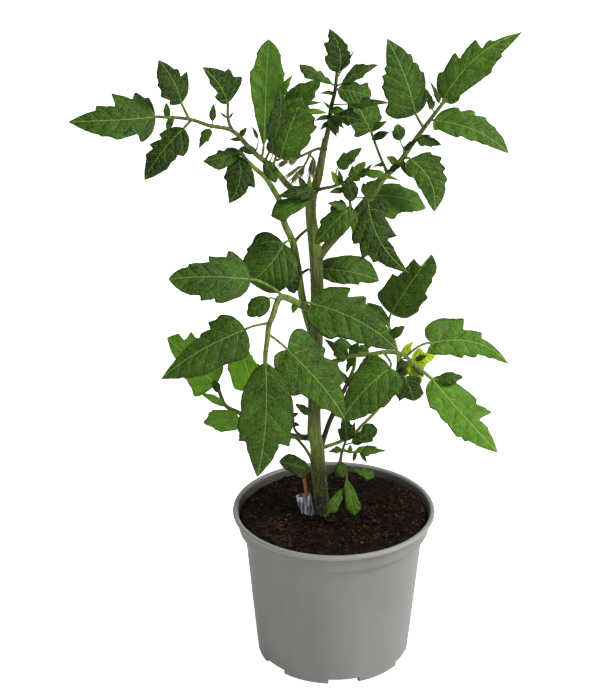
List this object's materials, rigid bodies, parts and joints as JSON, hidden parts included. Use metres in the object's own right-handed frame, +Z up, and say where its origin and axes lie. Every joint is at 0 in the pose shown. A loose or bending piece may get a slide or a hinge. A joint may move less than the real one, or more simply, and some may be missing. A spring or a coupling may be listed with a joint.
{
  "type": "potted tomato plant",
  "caption": "Young tomato plant with toothed compound leaves on a hairy central stem, growing in a round nursery pot filled with soil.",
  "frame": {"origin": "Middle of the flat floor disc under the pot, on the surface it stands on.", "axes": "+Z up along the pot and the stem; the two widest leaves reach along -X and +X; -Y faces the viewer."},
  "size_m": [0.2462, 0.1224, 0.3871],
  "materials": {
    "pot": "grey moulded plastic, satin",
    "stem": "hairy green stem",
    "leaf": "soft green leaf, matt",
    "leaf_yellow": "yellowing leaf, matt",
    "soil": "dark moist peat",
    "stick": "raw wood",
    "clip": "cloudy clear soft plastic"
  },
  "bodies": {
    "root": {"pot": "pot", "main_stem": "stem", "leaf_upper_left": "leaf", "leaf_side_left": "leaf", "leaf_upper_right": "leaf", "shoot_upper_front": "leaf", "shoot_upper_left": "leaf", "flower_truss": "leaf", "shoot_top": "leaf", "leaf_front_left": "leaf", "leaf_back_left": "leaf", "leaf_right": "leaf", "leaf_back_right": "leaf", "leaf_yellow": "leaf_yellow", "leaf_behind_stem": "leaf", "shoot_young": "leaf", "shoot_basal_left": "leaf", "support_stick": "stick", "grafting_clip": "clip", "soil": "soil"}
  },
  "joints": []
}
